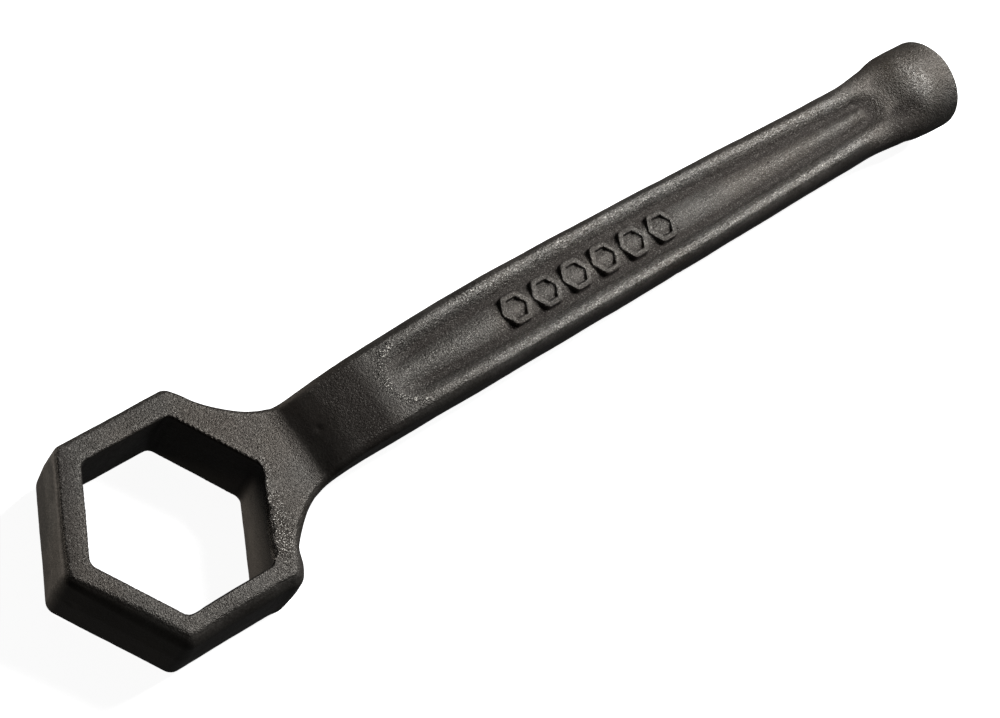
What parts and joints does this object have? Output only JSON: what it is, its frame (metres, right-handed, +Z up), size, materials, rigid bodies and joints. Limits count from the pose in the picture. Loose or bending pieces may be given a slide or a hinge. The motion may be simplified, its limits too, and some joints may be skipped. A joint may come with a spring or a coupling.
{
  "type": "fire hydrant wrench",
  "caption": "One-piece cast iron hydrant wrench: a hexagonal ring head, a raised neck, a long flanged handle with a sunk panel and a round end boss.",
  "frame": {"origin": "centre of the footprint on the plane of the ring's lower face, midway between the ring's tip and the boss's end face", "axes": "+X along the handle from the ring to the boss, +Z up along the axis of the hexagonal opening, +Y across the handle"},
  "size_m": [0.4328, 0.0842, 0.0552],
  "materials": {
    "cast_iron": "as-cast, fine sand-cast grain, dark with a faint brown tint"
  },
  "bodies": {
    "root": {"wrench_casting": "cast_iron"}
  },
  "joints": []
}
